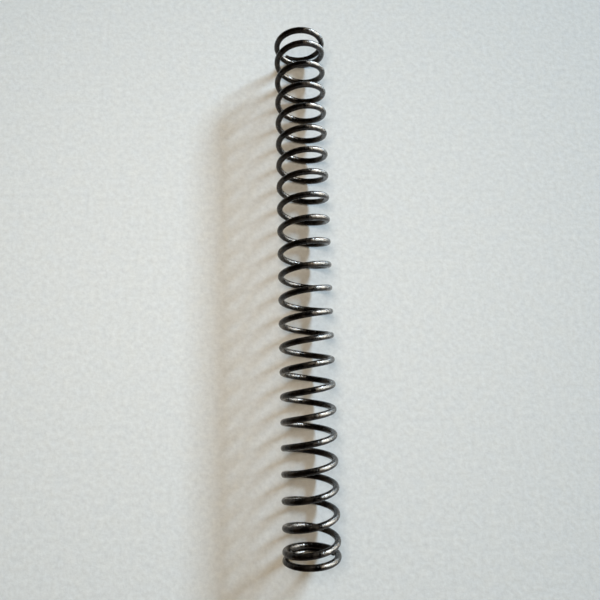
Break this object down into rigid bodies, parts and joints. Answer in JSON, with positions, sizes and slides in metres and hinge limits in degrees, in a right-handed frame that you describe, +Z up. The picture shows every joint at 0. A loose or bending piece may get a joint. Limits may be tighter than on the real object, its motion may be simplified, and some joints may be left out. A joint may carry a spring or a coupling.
{
  "type": "compression spring",
  "caption": "Long slender compression spring of round dark steel wire, coiled right-handed, with closed ends ground flat.",
  "frame": {"origin": "on the surface that the spring lies on, under the middle of its axis, halfway along its free length", "axes": "+Y along the axis of the coils towards the back end, +Z up, and the spring lies on its side with its lowest point at Z = 0"},
  "size_m": [0.0144, 0.14, 0.0145],
  "materials": {
    "wire": "dark drawn spring wire with a thin oiled oxide, satin, brighter where the ends are ground"
  },
  "bodies": {
    "root": {"spring": "wire"}
  },
  "joints": []
}
